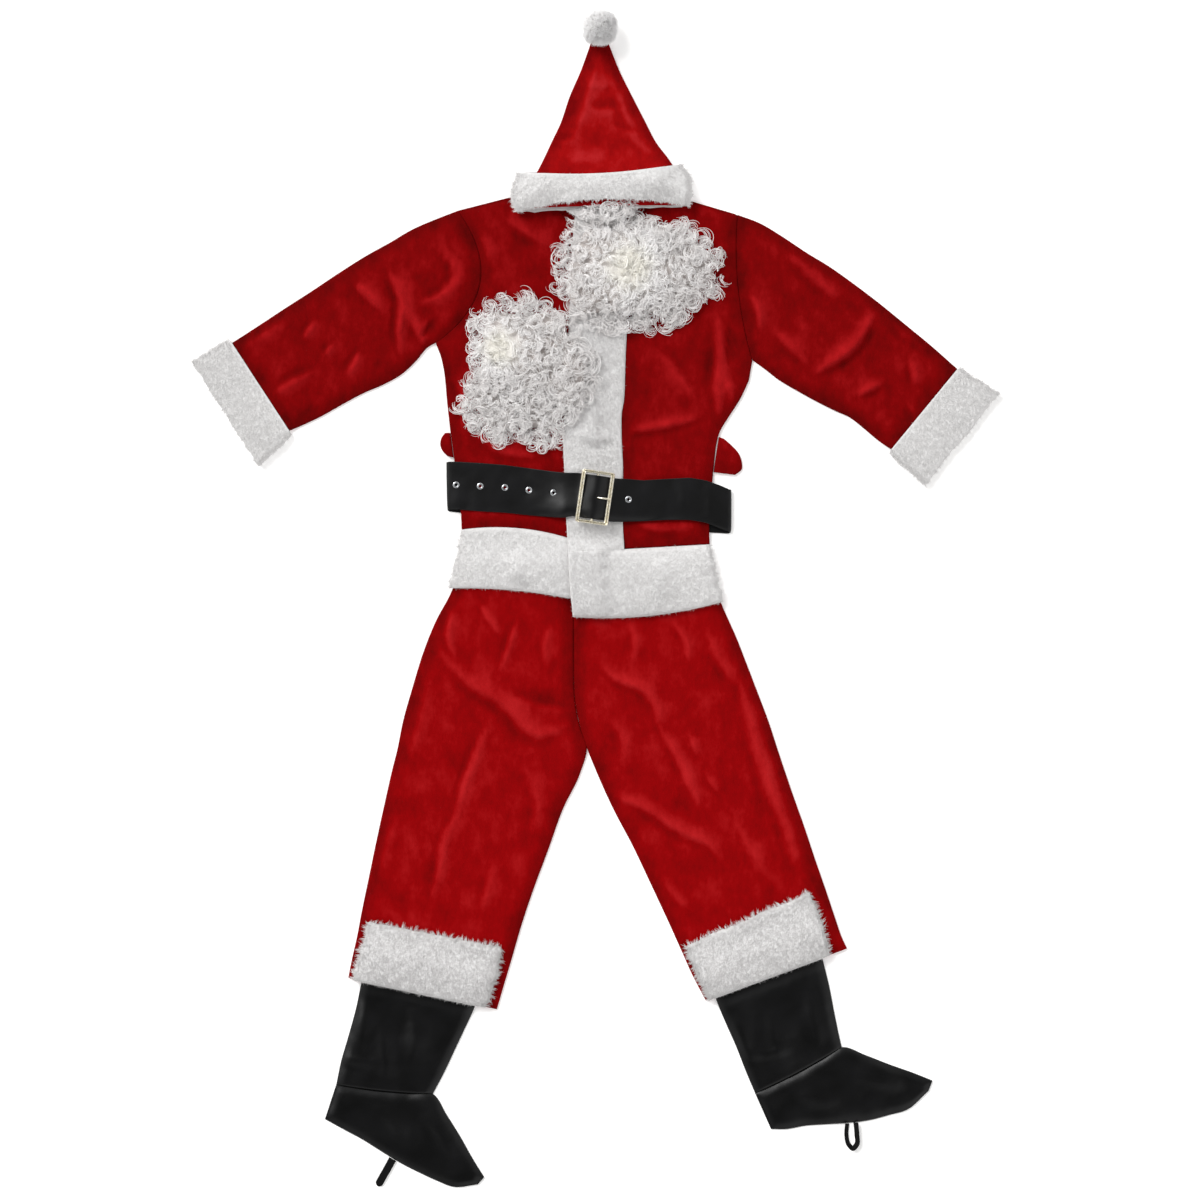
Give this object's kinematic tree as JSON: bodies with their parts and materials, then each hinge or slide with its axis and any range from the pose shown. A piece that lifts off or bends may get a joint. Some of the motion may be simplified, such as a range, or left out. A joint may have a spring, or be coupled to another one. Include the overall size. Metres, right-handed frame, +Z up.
{
  "type": "santa suit",
  "caption": "Child's Santa suit laid out flat: red velour hat, jacket and trousers with white plush trim, black boot covers, buckled belt, curly white wig and beard.",
  "frame": {"origin": "middle of the suit's outline on the floor it lies on", "axes": "+X to the wearer's left side, +Y from the boots to the hat, +Z up from the floor; the suit lies on its back"},
  "size_m": [1.2104, 1.7643, 0.0616],
  "materials": {
    "velour": "dark red polyester velour with a soft sheen",
    "plush": "off-white short polyester plush",
    "curls": "white curled synthetic hair, slightly glossy",
    "vinyl": "black soft vinyl leatherette, satin",
    "belt": "black vinyl strap with a woven back, satin",
    "plated": "pale gold plated zinc, polished",
    "eyelet": "nickel plated steel, polished",
    "elastic": "black woven elastic"
  },
  "bodies": {
    "root": {"hat_back": "velour", "hat_front": "velour", "jacket_back": "velour", "jacket_front_right": "velour", "jacket_front_left": "velour", "sleeve_right": "velour", "sleeve_left": "velour", "belt_loop_right": "velour", "belt_loop_left": "velour", "trouser_leg_right": "velour", "trouser_leg_left": "velour", "hat_band": "plush", "hat_pompom": "plush", "placket": "plush", "collar": "plush", "hem_band_back": "plush", "hem_band_right": "plush", "hem_band_left": "plush", "cuff_right": "plush", "cuff_left": "plush", "leg_band_right": "plush", "leg_band_left": "plush", "wig": "curls", "beard": "curls", "boot_shaft_right": "vinyl", "boot_shaft_left": "vinyl", "boot_foot_right": "vinyl", "boot_foot_left": "vinyl", "belt_strap": "belt", "buckle_frame": "plated", "buckle_prong": "plated", "eyelet_1": "eyelet", "eyelet_2": "eyelet", "eyelet_3": "eyelet", "eyelet_4": "eyelet", "eyelet_5": "eyelet", "eyelet_6": "eyelet", "boot_elastic_right": "elastic", "boot_elastic_left": "elastic"}
  },
  "joints": []
}
